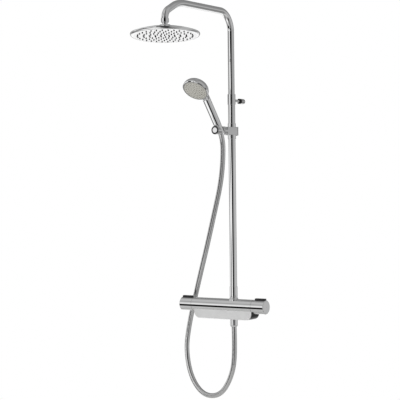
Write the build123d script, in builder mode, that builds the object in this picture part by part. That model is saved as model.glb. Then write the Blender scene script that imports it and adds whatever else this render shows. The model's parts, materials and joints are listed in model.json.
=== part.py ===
"""Rainfall shower column: bar mixer, telescopic riser, rain head, handset and hose.

Millimetres. X runs along the mixer bar, +Y points at the wall and +Z is up. The origin lies midway
between the flat faces of the two union nuts, level with the bar's axis.
"""
import math
import os

from build123d import *

os.makedirs("parts", exist_ok=True)

# ---------------------------------------------------------------- driving dimensions
RUN = 0.2               # running clearance of a sliding or turning fit, on the radius
SEAT = 0.1              # clearance of a piece that drops into its seat
TRAVEL_GAP = 0.5        # air between faces that pass each other

# bar mixer
BAR_R = 21.5            # outside radius of the bar and of its handles
BAR_Y = -41.0           # axis of the bar, in front of the nut faces
BODY_HALF = 109.0       # half the length of the middle body
HANDLE_GAP = 0.6        # seam between the body and a handle
HANDLE_L = 44.4         # length of a handle
HANDLE_WALL = 3.2
INLET_X = 75.0          # half of the standard 150 mm inlet spacing
NUT_BORE_R = 12.06      # minor radius of the G 3/4 union thread
WALL_BEHIND = 67.0      # the wall lies this far behind the riser's axis
WALL_Y = BAR_Y + WALL_BEHIND

# riser
RISER_X = 37.0
RISER_Y = BAR_Y
TUBE_R = 11.0           # lower tube
TUBE_WALL = 0.8
TUBE_FOOT = 30.0        # height of the lower tube's lower end
COLLAR_R = 12.4
COLLAR_Z = 637.0
COLLAR_H = 32.0
BRACKET_Z = 634.0

# upper tube and arm
ARM_TUBE_R = 10.0
ARM_TUBE_WALL = 1.0
ARM_TUBE_FOOT = 480.0
ARM_Z = 904.8
ARM_REACH = 348.0
ARM_BEND = 58.0         # bend above the riser
ARM_SHOULDER = (282.0, 901.2)   # where the arm starts to drop: reach from the riser's axis, and height
ARM_SHOULDER_BEND = 120.0
ARM_ELBOW_Z = 865.5     # the second, tighter turn down to the head
ARM_ELBOW_BEND = 30.0
ARM_END = 838.0

# rain head
HEAD_R = 99.7
HEAD_TILT = -4.3        # the head rests tilted a little on its ball joint
HEAD_TILT_HEADING = 34.0
BALL_Z = 816.0
BALL_R = 8.5
# radius, count and start angle of each ring: every other ring is turned by half its pitch
NOZZLE_RINGS = ((79.0, 30, 0), (61.5, 24, 7.5), (44.5, 18, 0), (28.5, 12, 15), (13.5, 6, 0))

# slider and handset
SLIDER_Z = 539.0
BLOCK_W = 26.0
BLOCK_H = 24.0
BLOCK_FRONT = 41.0      # from the riser's axis to the front of the block
BLOCK_BACK = 13.3
HANDSET_LEAN = 38.5     # handset axis, leaning forward from upright
CRADLE_REACH = 67.2     # from the riser's axis to the cradle's axis, at the slider's height
CRADLE_R = 13.0         # the cradle is a barrel along Y with a leaning conical hole through it
CRADLE_FRONT = 96.0     # from the riser's axis to the barrel's front face
GRIP_R = 11.75
FACE_R = 35.6
FACE_ALONG = 169.6      # spray face centre along the handset axis from the cradle's centre
FACE_AHEAD = 33.0       # and in front of that axis
FACE_DROOP = 12.0       # the spray face turns this far back towards the grip

# hose
HOSE_R = 7.8

# lower housing
HOUSING_LEFT = -99.0
HOUSING_RIGHT = 110.0
HOUSING_FRONT = 17.0    # in front of the bar's axis
HOUSING_DEPTH = 47.0
HOUSING_DROP = 19.2     # below the underside of the bar
HOUSING_WALL = 2.5
HOUSING_CORNER = 19.0
HOUSING_SCREW_X = 65.0
HOUSING_SCREW_R = 2.0


# ---------------------------------------------------------------- shared shapes
def rod(radius, start, end, mode=Mode.ADD):
    """A round bar between two points."""
    a, b = Vector(*start), Vector(*end)
    with Locations(Plane(origin=a, z_dir=b - a)):
        Cylinder(radius, (b - a).length, align=(Align.CENTER, Align.CENTER, Align.MIN), mode=mode)


def spin_plane(origin, axis):
    """A drawing plane whose X is the radius and whose Y runs along the axis."""
    along = Vector(*axis).normalized()
    across = Vector(1, 0, 0) if abs(along.X) < 0.5 else Vector(0, 0, 1)
    return Plane(origin=origin, x_dir=across, z_dir=across.cross(along))


def turned(outline, origin, axis=(0, 0, 1), mode=Mode.ADD):
    """A turned piece. Two points in a row make a line; a (point, "via", point) triple makes an arc."""
    plane = spin_plane(origin, axis)
    with BuildSketch(plane) as profile:
        with BuildLine():
            last = outline[0]
            for step in outline[1:] + [outline[0]]:
                if isinstance(step[0], tuple):
                    ThreePointArc(last, step[0], step[1])
                    last = step[1]
                else:
                    if math.dist(last, step) > 1e-6:
                        Line(last, step)
                    last = step
        make_face()
    revolve(profile.sketch, axis=Axis(plane.origin, plane.y_dir), mode=mode)


def ring(inner, outer, low, high, origin, axis=(0, 0, 1), mode=Mode.ADD):
    """A plain washer or sleeve."""
    turned([(inner, low), (outer, low), (outer, high), (inner, high)], origin, axis, mode)


def save(piece, node):
    piece.label = node
    export_step(piece, f"parts/{node}.step")


# ---------------------------------------------------------------- mixer body
TEMP_BORE_R = 13.5
FLOW_BORE_R = 12.0
FLANGE_R = 16.5
FLANGE_T = 5.0
WATERWAY_R = 5.0
PORT_R = 6.0
TEMP_BORE_END = -8.0
FLOW_BORE_END = 14.0
TAIL_R = 10.0
TAIL_BORE_R = 7.5
TAIL_INNER = BAR_Y + 17.0
BOSS_R = 13.5
BOSS_FACE = -18.0
GALLERY_R = 2.5
GALLERY_Y = BAR_Y + 17.7
GALLERY_LEFT = -55.0
RISER_SPIGOT_R = 9.0
RISER_SPIGOT_LOW = 14.5
NIPPLE_R = 9.5
NIPPLE_TOP = -14.5

with BuildPart() as valve_body:
    rod(BAR_R, (-BODY_HALF, BAR_Y, 0), (BODY_HALF, BAR_Y, 0))
    for side in (-1, 1):
        rod(BOSS_R, (side * INLET_X, BAR_Y + TEMP_BORE_R + 3, 0), (side * INLET_X, BOSS_FACE, 0))
    rod(TEMP_BORE_R, (-BODY_HALF, BAR_Y, 0), (TEMP_BORE_END, BAR_Y, 0), Mode.SUBTRACT)
    rod(FLOW_BORE_R, (BODY_HALF, BAR_Y, 0), (FLOW_BORE_END, BAR_Y, 0), Mode.SUBTRACT)
    for side in (-1, 1):
        rod(FLANGE_R, (side * BODY_HALF, BAR_Y, 0), (side * (BODY_HALF - FLANGE_T), BAR_Y, 0), Mode.SUBTRACT)
        rod(TAIL_R, (side * INLET_X, TAIL_INNER, 0), (side * INLET_X, BOSS_FACE, 0), Mode.SUBTRACT)
    rod(WATERWAY_R, (TEMP_BORE_END, BAR_Y, 0), (FLOW_BORE_END, BAR_Y, 0), Mode.SUBTRACT)
    # left inlet opens straight into the thermostat; the right one reaches it by a gallery in the wall
    rod(PORT_R, (-INLET_X, TAIL_INNER, 0), (-INLET_X, BAR_Y, 0), Mode.SUBTRACT)
    rod(GALLERY_R, (INLET_X, GALLERY_Y, 0), (GALLERY_LEFT, GALLERY_Y, 0), Mode.SUBTRACT)
    rod(GALLERY_R, (GALLERY_LEFT, GALLERY_Y, 0), (GALLERY_LEFT, BAR_Y, 0), Mode.SUBTRACT)
    # outlets: up to the riser, down to the hose
    rod(PORT_R, (RISER_X, BAR_Y, -BAR_R - 1), (RISER_X, BAR_Y, BAR_R + 1), Mode.SUBTRACT)
    rod(RISER_SPIGOT_R, (RISER_X, BAR_Y, RISER_SPIGOT_LOW), (RISER_X, BAR_Y, BAR_R + 1), Mode.SUBTRACT)
    rod(NIPPLE_R, (RISER_X, BAR_Y, -BAR_R - 1), (RISER_X, BAR_Y, NIPPLE_TOP), Mode.SUBTRACT)
    for side in (-1, 1):
        rod(HOUSING_SCREW_R, (side * HOUSING_SCREW_X, BAR_Y, -BAR_R - 2),
            (side * HOUSING_SCREW_X, BAR_Y, -BAR_R + 4), Mode.SUBTRACT)

# ---------------------------------------------------------------- inlets
NUT_AF = 30.0
NUT_L = 17.0
NUT_NECK_R = 10.4
NUT_SHOULDER = -13.0
NUT_RELIEF_R = 12.5         # thread relief behind the washer
THREAD_L = 7.0
TAIL_COLLAR_R = 11.8
TAIL_COLLAR_T = 4.0
UNION_WASHER_T = 2.0
VALVE_SEAT_L = 11.0

with BuildPart() as inlet_tails:
    for side in (-1, 1):
        at = (side * INLET_X, 0, 0)
        ring(TAIL_BORE_R, TAIL_R, TAIL_INNER, NUT_SHOULDER, at, (0, 1, 0))
        ring(TAIL_BORE_R, TAIL_COLLAR_R, NUT_SHOULDER, NUT_SHOULDER + TAIL_COLLAR_T, at, (0, 1, 0))

with BuildPart() as inlet_nuts:
    for side in (-1, 1):
        with BuildSketch(Plane(origin=(side * INLET_X, -NUT_L, 0), x_dir=(1, 0, 0), z_dir=(0, 1, 0))):
            RegularPolygon(NUT_AF / 2, 6, major_radius=False)
        extrude(amount=NUT_L)
        rod(NUT_NECK_R, (side * INLET_X, -NUT_L, 0), (side * INLET_X, 0, 0), Mode.SUBTRACT)
        rod(NUT_RELIEF_R, (side * INLET_X, NUT_SHOULDER, 0), (side * INLET_X, -THREAD_L, 0), Mode.SUBTRACT)
        rod(NUT_BORE_R, (side * INLET_X, -THREAD_L, 0), (side * INLET_X, 0, 0), Mode.SUBTRACT)

with BuildPart() as inlet_washers:
    washer_low = NUT_SHOULDER + TAIL_COLLAR_T
    for side in (-1, 1):
        ring(8.5, TAIL_COLLAR_R, washer_low, washer_low + UNION_WASHER_T, (side * INLET_X, 0, 0), (0, 1, 0))

with BuildPart() as check_valves:
    for side in (-1, 1):
        low = TAIL_INNER + 1.0
        turned(
            [(2.0, low), (5.0, low), (TAIL_BORE_R, low + 2), (TAIL_BORE_R, low + VALVE_SEAT_L),
             (5.5, low + VALVE_SEAT_L), (5.5, low + 4), (2.0, low + 4)],
            (side * INLET_X, 0, 0), (0, 1, 0),
        )

# ---------------------------------------------------------------- cartridges
CARTRIDGE_NOSE_R = 12.0
CARTRIDGE_NOSE_L = 8.0
SPINDLE_R = 4.0
SPINDLE_HOLE_DEPTH = 30.0       # below the body's end face
TEMP_CARTRIDGE_L = 72.0
FLOW_CARTRIDGE_L = 55.0


def cartridge(side, barrel_r, length):
    """A valve cartridge: flange, barrel and nose, with a hole for its spindle."""
    rod(FLANGE_R, (side * (BODY_HALF - FLANGE_T), BAR_Y, 0), (side * BODY_HALF, BAR_Y, 0))
    rod(barrel_r - SEAT, (side * (BODY_HALF - length), BAR_Y, 0), (side * BODY_HALF, BAR_Y, 0))
    rod(CARTRIDGE_NOSE_R, (side * BODY_HALF, BAR_Y, 0), (side * (BODY_HALF + CARTRIDGE_NOSE_L), BAR_Y, 0))
    rod(SPINDLE_R + RUN, (side * (BODY_HALF - SPINDLE_HOLE_DEPTH), BAR_Y, 0),
        (side * (BODY_HALF + CARTRIDGE_NOSE_L), BAR_Y, 0), Mode.SUBTRACT)


with BuildPart() as temp_cartridge:
    cartridge(-1, TEMP_BORE_R, TEMP_CARTRIDGE_L)

with BuildPart() as flow_cartridge:
    cartridge(1, FLOW_BORE_R, FLOW_CARTRIDGE_L)

# ---------------------------------------------------------------- handles
HANDLE_IN = BODY_HALF + HANDLE_GAP
HUB_R = 9.0
HUB_LOW = CARTRIDGE_NOSE_L + 3.4
SPINDLE_TOP = 36.0
END_WALL_LOW = 38.4
CAP_T = 2.0
CAP_R = 17.5
EDGE = 1.5
SCREW_R = 2.1
SCREW_HEAD_R = 4.0
SCREW_HEAD_T = 1.4
TAB_W = 12.0
TAB_START = 6.3
TAB_END = 41.7
TAB_TOP = 4.7                   # above the handle's surface
TAB_TRAVEL = 2.0
TAB_LOW = 16.2
TAB_FOOT_T = 2.0
TAB_FOOT_W = 15.0
TAB_FOOT_START = 8.5
TAB_FOOT_END = 37.5
TAB_CORNER = 2.0
TAB_EDGE = 0.9


def handle(side):
    """A hollow knob with a hub, an end wall and a slot on top for its stop button."""
    at = (side * HANDLE_IN, BAR_Y, 0)
    cap_floor = HANDLE_L - CAP_T
    turned(
        [(SCREW_R, cap_floor), (CAP_R, cap_floor), (CAP_R, HANDLE_L), (BAR_R - EDGE, HANDLE_L),
         (BAR_R, HANDLE_L - EDGE), (BAR_R, 0), (BAR_R - HANDLE_WALL, 0), (BAR_R - HANDLE_WALL, END_WALL_LOW),
         (HUB_R, END_WALL_LOW), (HUB_R, HUB_LOW), (SPINDLE_R, HUB_LOW), (SPINDLE_R, SPINDLE_TOP),
         (SCREW_R, SPINDLE_TOP)],
        at, (side, 0, 0),
    )
    slot_floor = TAB_LOW - TAB_TRAVEL - 0.3
    with Locations((side * (HANDLE_IN + (TAB_START + TAB_END) / 2), BAR_Y, slot_floor)):
        Box(TAB_END - TAB_START + 2 * RUN, TAB_W + 2 * RUN, BAR_R,
            align=(Align.CENTER, Align.CENTER, Align.MIN), mode=Mode.SUBTRACT)


def spindle(side):
    """The valve spindle, drilled for the handle's screw."""
    foot = -(SPINDLE_HOLE_DEPTH + HANDLE_GAP) + 2
    turned(
        [(0, foot), (SPINDLE_R, foot), (SPINDLE_R, SPINDLE_TOP), (SCREW_R - SEAT, SPINDLE_TOP),
         (SCREW_R - SEAT, SPINDLE_TOP - 10.5), (0, SPINDLE_TOP - 10.5)],
        (side * HANDLE_IN, BAR_Y, 0), (side, 0, 0),
    )


def handle_screw(side):
    """A pan-head screw that holds the handle on its spindle, with a slot in its head."""
    floor = HANDLE_L - CAP_T
    turned(
        [(0, SPINDLE_TOP - 10), (SCREW_R - SEAT, SPINDLE_TOP - 10), (SCREW_R - SEAT, floor),
         (SCREW_HEAD_R, floor), (SCREW_HEAD_R, floor + SCREW_HEAD_T), (0, floor + SCREW_HEAD_T)],
        (side * HANDLE_IN, BAR_Y, 0), (side, 0, 0),
    )
    with Locations((side * (HANDLE_IN + floor + SCREW_HEAD_T), BAR_Y, 0)):
        Box(1.0, 6.0, 1.0, mode=Mode.SUBTRACT)


def end_cap(side):
    """The disc that closes the handle's end, hollow over the screw's head."""
    floor = HANDLE_L - CAP_T
    turned(
        [(0, floor + SCREW_HEAD_T + 0.1), (SCREW_HEAD_R + 0.3, floor + SCREW_HEAD_T + 0.1),
         (SCREW_HEAD_R + 0.3, floor), (CAP_R, floor), (CAP_R, HANDLE_L - 0.3), (CAP_R - 0.5, HANDLE_L),
         (0, HANDLE_L + 0.3)],
        (side * HANDLE_IN, BAR_Y, 0), (side, 0, 0),
    )


def stop_button(button, side):
    """The raised tab: pressed in by its travel, it lets the handle turn past its stop."""
    middle = HANDLE_IN + (TAB_START + TAB_END) / 2
    with BuildSketch(Plane(origin=(side * middle, BAR_Y, TAB_LOW))) as tab:
        RectangleRounded(TAB_END - TAB_START, TAB_W, TAB_CORNER)
    extrude(tab.sketch, amount=BAR_R + TAB_TOP - TAB_LOW)
    fillet(button.faces().sort_by(Axis.Z)[-1].edges(), radius=TAB_EDGE)
    with Locations((side * (HANDLE_IN + (TAB_FOOT_START + TAB_FOOT_END) / 2), BAR_Y, TAB_LOW)):
        Box(TAB_FOOT_END - TAB_FOOT_START, TAB_FOOT_W, TAB_FOOT_T,
            align=(Align.CENTER, Align.CENTER, Align.MAX))


with BuildPart() as temp_handle:
    handle(-1)
with BuildPart() as flow_handle:
    handle(1)
with BuildPart() as temp_spindle:
    spindle(-1)
with BuildPart() as flow_spindle:
    spindle(1)
with BuildPart() as temp_handle_screw:
    handle_screw(-1)
with BuildPart() as flow_handle_screw:
    handle_screw(1)
with BuildPart() as temp_end_cap:
    end_cap(-1)
with BuildPart() as flow_end_cap:
    end_cap(1)
with BuildPart() as temp_stop_button:
    stop_button(temp_stop_button, -1)
with BuildPart() as flow_stop_button:
    stop_button(flow_stop_button, 1)

# ---------------------------------------------------------------- lower housing
HOUSING_LOW = -BAR_R - HOUSING_DROP
HOUSING_Y0 = BAR_Y - HOUSING_FRONT
NUT_HOLE_R = 13.0
HOUSING_REAR_DROP = NUT_AF / math.sqrt(3) + 1.7

with BuildPart() as lower_housing:
    with BuildSketch(Plane(origin=(0, HOUSING_Y0, 0), x_dir=(1, 0, 0), z_dir=(0, -1, 0))):
        with Locations(((HOUSING_LEFT + HOUSING_RIGHT) / 2, HOUSING_LOW)):
            Rectangle(HOUSING_RIGHT - HOUSING_LEFT, -HOUSING_LOW, align=(Align.CENTER, Align.MIN))
    extrude(amount=-HOUSING_DEPTH)
    lower_corners = lower_housing.edges().filter_by(Axis.Y).sort_by(Axis.Z)[:2]
    fillet(lower_corners, radius=HOUSING_CORNER)
    top = lower_housing.faces().sort_by(Axis.Z)[-1]
    offset(amount=-HOUSING_WALL, openings=top)
    rod(BAR_R, (-BODY_HALF - 5, BAR_Y, 0), (BODY_HALF + 5, BAR_Y, 0), Mode.SUBTRACT)
    # the back is cut down to clear the union nuts
    with Locations((0, BAR_Y + BAR_R, 0)):
        Box(3 * BODY_HALF, 2 * BAR_R, 2 * HOUSING_REAR_DROP, mode=Mode.SUBTRACT)
    rod(NUT_HOLE_R, (RISER_X, BAR_Y, HOUSING_LOW - 1), (RISER_X, BAR_Y, HOUSING_LOW + HOUSING_WALL + 1),
        Mode.SUBTRACT)
    for side in (-1, 1):
        # bosses that carry the two screws up to the bar
        rod(5.0, (side * HOUSING_SCREW_X, BAR_Y, HOUSING_LOW + 1), (side * HOUSING_SCREW_X, BAR_Y, -BAR_R - 2))
        rod(HOUSING_SCREW_R + SEAT, (side * HOUSING_SCREW_X, BAR_Y, HOUSING_LOW - 1),
            (side * HOUSING_SCREW_X, BAR_Y, 0), Mode.SUBTRACT)

with BuildPart() as housing_screws:
    for side in (-1, 1):
        rod(HOUSING_SCREW_R, (side * HOUSING_SCREW_X, BAR_Y, HOUSING_LOW),
            (side * HOUSING_SCREW_X, BAR_Y, -BAR_R + 4.0))
        rod(4.2, (side * HOUSING_SCREW_X, BAR_Y, HOUSING_LOW - 1.4), (side * HOUSING_SCREW_X, BAR_Y, HOUSING_LOW))

# ---------------------------------------------------------------- riser connector and lower tube
SLEEVE_R = 12.1
SLEEVE_TOP = 60.0
SPIGOT_TOP = 56.0
TUBE_BORE_R = TUBE_R - TUBE_WALL
FOOT_R = 15.0
FOOT_TOP = 27.0
SEAL_R = 1.0
SEAL_HEIGHTS = (40.0, 49.0)
RISER = (RISER_X, RISER_Y, 0)

with BuildPart() as riser_connector:
    turned(
        [(PORT_R, 12), (FOOT_R, 12), (FOOT_R, 20.5), ((SLEEVE_R + 0.7, 23.5), (SLEEVE_R, FOOT_TOP + 2)),
         (SLEEVE_R, SLEEVE_TOP - 0.5), (SLEEVE_R - 0.3, SLEEVE_TOP), (TUBE_R + SEAT, SLEEVE_TOP),
         (TUBE_R + SEAT, TUBE_FOOT), (TUBE_BORE_R - RUN, TUBE_FOOT), (TUBE_BORE_R - RUN, SPIGOT_TOP - 1),
         (TUBE_BORE_R - RUN - 1, SPIGOT_TOP), (PORT_R, SPIGOT_TOP)],
        RISER,
    )
    rod(BAR_R, (0, BAR_Y, 0), (2 * RISER_X, BAR_Y, 0), Mode.SUBTRACT)
    ring(PORT_R, RISER_SPIGOT_R, RISER_SPIGOT_LOW, FOOT_TOP, RISER)
    for height in SEAL_HEIGHTS:
        ring(TUBE_BORE_R - 2 * SEAL_R, TUBE_BORE_R, height - SEAL_R, height + SEAL_R, RISER, mode=Mode.SUBTRACT)

with BuildPart() as riser_seals:
    for height in SEAL_HEIGHTS:
        ring(TUBE_BORE_R - 2 * SEAL_R, TUBE_BORE_R, height - SEAL_R, height + SEAL_R, RISER)

COLLAR_LOW = COLLAR_Z - COLLAR_H / 2
COLLAR_TOP = COLLAR_Z + COLLAR_H / 2
TUBE_TOP = COLLAR_TOP - 7.0

with BuildPart() as lower_tube:
    ring(TUBE_BORE_R, TUBE_R, TUBE_FOOT, TUBE_TOP, RISER)

SET_SCREW_R = 1.5
SET_SCREW_Z = COLLAR_TOP - 3.5
NECK_R = 4.5
NECK_DEPTH = 1.0                # how far the neck screws into the collar

with BuildPart() as tube_collar:
    turned(
        [(TUBE_R, COLLAR_LOW), (COLLAR_R - 0.5, COLLAR_LOW), (COLLAR_R, COLLAR_LOW + 0.5),
         (COLLAR_R, COLLAR_TOP - 0.5), (COLLAR_R - 0.5, COLLAR_TOP), (ARM_TUBE_R + RUN, COLLAR_TOP),
         (ARM_TUBE_R + RUN, TUBE_TOP), (TUBE_R, TUBE_TOP)],
        RISER,
    )
    rod(NECK_R, (RISER_X, RISER_Y + COLLAR_R - NECK_DEPTH, BRACKET_Z), (RISER_X, RISER_Y + COLLAR_R + 5, BRACKET_Z),
        Mode.SUBTRACT)
    rod(SET_SCREW_R, (RISER_X, RISER_Y, SET_SCREW_Z), (RISER_X, RISER_Y + COLLAR_R + 1, SET_SCREW_Z), Mode.SUBTRACT)

with BuildPart() as collar_set_screw:
    rod(SET_SCREW_R, (RISER_X, RISER_Y + ARM_TUBE_R + RUN, SET_SCREW_Z), (RISER_X, RISER_Y + COLLAR_R - 0.3, SET_SCREW_Z))
    with Locations((RISER_X, RISER_Y + COLLAR_R - 0.3, SET_SCREW_Z)):
        Box(2.2, 1.0, 0.6, mode=Mode.SUBTRACT)

# ---------------------------------------------------------------- wall bracket
STANDOFF_R = 8.2
STANDOFF_L = 24.0
STANDOFF_Y = WALL_Y - STANDOFF_L
NECK_SOCKET = 8.0
BASE_R = 6.4
BASE_L = 12.0
WALL_HOLE_R = 2.3
GRUB_R = 1.6

with BuildPart() as bracket_neck:
    rod(NECK_R, (RISER_X, RISER_Y + COLLAR_R - NECK_DEPTH, BRACKET_Z), (RISER_X, STANDOFF_Y + NECK_SOCKET, BRACKET_Z))

with BuildPart() as wall_standoff:
    rod(STANDOFF_R, (RISER_X, STANDOFF_Y, BRACKET_Z), (RISER_X, WALL_Y, BRACKET_Z))
    chamfer(wall_standoff.edges().filter_by(GeomType.CIRCLE).sort_by(Axis.Y)[0], length=0.6)
    rod(NECK_R, (RISER_X, STANDOFF_Y, BRACKET_Z), (RISER_X, STANDOFF_Y + NECK_SOCKET, BRACKET_Z), Mode.SUBTRACT)
    rod(BASE_R, (RISER_X, WALL_Y - BASE_L - 1, BRACKET_Z), (RISER_X, WALL_Y, BRACKET_Z), Mode.SUBTRACT)
    rod(GRUB_R, (RISER_X, WALL_Y - BASE_L / 2, BRACKET_Z - STANDOFF_R - 1), (RISER_X, WALL_Y - BASE_L / 2, BRACKET_Z),
        Mode.SUBTRACT)

with BuildPart() as wall_base:
    turned(
        [(WALL_HOLE_R, WALL_Y), (WALL_HOLE_R, WALL_Y - BASE_L + 2.4), (WALL_HOLE_R + 2.4, WALL_Y - BASE_L),
         (BASE_R, WALL_Y - BASE_L), (BASE_R, WALL_Y)],
        (RISER_X, 0, BRACKET_Z), (0, 1, 0),
    )

with BuildPart() as standoff_grub:
    rod(GRUB_R, (RISER_X, WALL_Y - BASE_L / 2, BRACKET_Z - BASE_R), (RISER_X, WALL_Y - BASE_L / 2, BRACKET_Z - STANDOFF_R + 0.2))

# ---------------------------------------------------------------- telescopic guide, upper tube and arm
ARM_BORE_R = ARM_TUBE_R - ARM_TUBE_WALL
BUSH_HEAD = 8.0
BUSH_SPIGOT = 15.0
BUSH_BORE_R = 6.5
BUSH_SEAL_T = 2.5

with BuildPart() as guide_bush:
    foot = ARM_TUBE_FOOT - BUSH_HEAD
    turned(
        [(BUSH_BORE_R, foot), (TUBE_BORE_R - RUN / 2 - 0.5, foot), (TUBE_BORE_R - RUN / 2, foot + 0.5),
         (TUBE_BORE_R - RUN / 2, foot + 2.5), (TUBE_BORE_R - 1.7, foot + 2.5),
         (TUBE_BORE_R - 1.7, foot + 2.5 + BUSH_SEAL_T), (TUBE_BORE_R - RUN / 2, foot + 2.5 + BUSH_SEAL_T),
         (TUBE_BORE_R - RUN / 2, ARM_TUBE_FOOT - RUN), (ARM_BORE_R - RUN / 2, ARM_TUBE_FOOT - RUN),
         (ARM_BORE_R - RUN / 2, ARM_TUBE_FOOT + BUSH_SPIGOT), (BUSH_BORE_R, ARM_TUBE_FOOT + BUSH_SPIGOT)],
        RISER,
    )

with BuildPart() as bush_seal:
    ring(TUBE_BORE_R - 1.7, TUBE_BORE_R - RUN / 4, ARM_TUBE_FOOT - BUSH_HEAD + 2.5,
         ARM_TUBE_FOOT - BUSH_HEAD + 2.5 + BUSH_SEAL_T, RISER)

HEAD_Y = RISER_Y - ARM_REACH
HEAD = (RISER_X, HEAD_Y, 0)

with BuildPart() as upper_tube:
    with BuildLine() as arm_route:
        FilletPolyline(
            (RISER_X, RISER_Y, ARM_TUBE_FOOT), (RISER_X, RISER_Y, ARM_Z),
            (RISER_X, RISER_Y - ARM_SHOULDER[0], ARM_SHOULDER[1]), (RISER_X, HEAD_Y, ARM_ELBOW_Z),
            (RISER_X, HEAD_Y, ARM_END), radius=[ARM_BEND, ARM_SHOULDER_BEND, ARM_ELBOW_BEND],
        )
    with BuildSketch(Plane(origin=arm_route.line @ 0, z_dir=arm_route.line % 0)):
        Circle(ARM_TUBE_R)
        Circle(ARM_BORE_R, mode=Mode.SUBTRACT)
    sweep()

# ---------------------------------------------------------------- arm nut and ball stem
ARM_NUT_R = 11.4
ARM_NUT_LOW = 835.0
ARM_NUT_TOP = 847.0
STEM_R = 7.0
STEM_SOCKET = 10.0
STEM_COLLAR_R = 7.6
STEM_NECK_R = 5.5
STEM_BORE_R = 3.0
STEM_WASHER_T = 1.5

with BuildPart() as arm_nut:
    turned(
        [(STEM_R, ARM_NUT_LOW), (ARM_NUT_R - 0.6, ARM_NUT_LOW), (ARM_NUT_R, ARM_NUT_LOW + 0.6),
         (ARM_NUT_R, ARM_NUT_TOP - 0.6), (ARM_NUT_R - 0.6, ARM_NUT_TOP), (ARM_TUBE_R, ARM_NUT_TOP),
         (ARM_TUBE_R, ARM_END), (ARM_BORE_R, ARM_END), (ARM_BORE_R, ARM_NUT_TOP), (4.5, ARM_NUT_TOP),
         (4.5, ARM_NUT_LOW + STEM_SOCKET), (STEM_R, ARM_NUT_LOW + STEM_SOCKET)],
        HEAD,
    )

with BuildPart() as stem_washer:
    ring(4.0, STEM_R - SEAT, ARM_NUT_LOW + STEM_SOCKET - STEM_WASHER_T, ARM_NUT_LOW + STEM_SOCKET, HEAD)

BALL = (RISER_X, HEAD_Y, BALL_Z)

with BuildPart() as ball_stem:
    top = ARM_NUT_LOW + STEM_SOCKET - STEM_WASHER_T - BALL_Z
    nut_face = ARM_NUT_LOW - BALL_Z
    neck_foot = math.sqrt(BALL_R**2 - STEM_NECK_R**2)
    ball_foot = -math.sqrt(BALL_R**2 - STEM_BORE_R**2)
    turned(
        [(STEM_BORE_R, top), (STEM_R, top), (STEM_R, nut_face), (STEM_COLLAR_R, nut_face), (STEM_COLLAR_R, 12.6),
         (STEM_NECK_R, 9.6), (STEM_NECK_R, neck_foot), ((BALL_R, 0), (STEM_BORE_R, ball_foot))],
        BALL,
    )

# ---------------------------------------------------------------- rain head, drawn level about the ball's centre
RING_IN = BALL_R + SEAT
RING_OUT = RING_IN + 1.4
SOCKET_R = RING_OUT + SEAT
RING_TOP = 25.0                 # the seat ring's upper and lower edges, in degrees of latitude
RING_LOW = -30.0
NUT_FLANGE_Z = 4.7
NUT_THREAD_R = 14.0
NUT_TOP_Z = 12.0
MOUTH_Z = 5.0
RIM_Z = -12.6
PLATE_R = 91.0
PLATE_LOW = -20.0
PLATE_T = 3.0
GASKET_T = 1.5
GASKET_IN = 88.3
MAT_R = 87.5
MAT_T = 1.3
NUB_R = 1.7
NUB_PROUD = 1.5
NUB_HOLE_R = NUB_R + 0.05


def at_latitude(radius, degrees):
    return (radius * math.cos(math.radians(degrees)), radius * math.sin(math.radians(degrees)))


with BuildPart() as ball_ring:
    middle = (RING_TOP + RING_LOW) / 2
    turned(
        [at_latitude(RING_IN, RING_LOW), (at_latitude(RING_IN, middle), at_latitude(RING_IN, RING_TOP)),
         at_latitude(RING_OUT, RING_TOP), (at_latitude(RING_OUT, middle), at_latitude(RING_OUT, RING_LOW))],
        BALL,
    )

with BuildPart() as ball_nut:
    mouth_r = math.sqrt(SOCKET_R**2 - MOUTH_Z**2)
    mouth_degrees = math.degrees(math.asin(MOUTH_Z / SOCKET_R))
    turned(
        [(SOCKET_R, 0), (at_latitude(SOCKET_R, mouth_degrees / 2), (mouth_r, MOUTH_Z)), (12.0, NUT_TOP_Z),
         (15.5, NUT_TOP_Z), (19.0, NUT_FLANGE_Z + 0.8), (19.0, NUT_FLANGE_Z), (NUT_THREAD_R, NUT_FLANGE_Z),
         (NUT_THREAD_R, 0)],
        BALL,
    )

SHELL_MID = (60.0, -0.96)
CEILING_MID = (57.0, -4.2)

with BuildPart() as head_shell:
    ledge = PLATE_LOW + PLATE_T + GASKET_T
    turned(
        [(NUT_THREAD_R, 0), (SOCKET_R, 0), (at_latitude(SOCKET_R, -22.5), at_latitude(SOCKET_R, -45)),
         (SOCKET_R * math.cos(math.radians(45)), -9.5), (17.0, -9.5), (17.0, 1.7),
         (CEILING_MID, (GASKET_IN - 0.3, -12.2)), (GASKET_IN - 0.3, ledge), (PLATE_R, ledge), (PLATE_R, PLATE_LOW),
         (PLATE_R + 2.5, PLATE_LOW), ((HEAD_R - 1.4, -17.4), (HEAD_R, RIM_Z - 0.6)), (HEAD_R - 0.4, RIM_Z + 0.4),
         (SHELL_MID, (20.0, NUT_FLANGE_Z)), (NUT_THREAD_R, NUT_FLANGE_Z)],
        BALL,
    )

with BuildPart() as face_plate:
    ring(0, PLATE_R, PLATE_LOW + 0.2, PLATE_LOW + PLATE_T, BALL)
    for radius, count, start in NOZZLE_RINGS:
        with Locations((RISER_X, HEAD_Y, BALL_Z + PLATE_LOW)):
            with PolarLocations(radius, count, start):
                Cylinder(NUB_HOLE_R, 4 * PLATE_T, mode=Mode.SUBTRACT)

with BuildPart() as head_gasket:
    ring(GASKET_IN, PLATE_R, PLATE_LOW + PLATE_T, PLATE_LOW + PLATE_T + GASKET_T, BALL)

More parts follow.
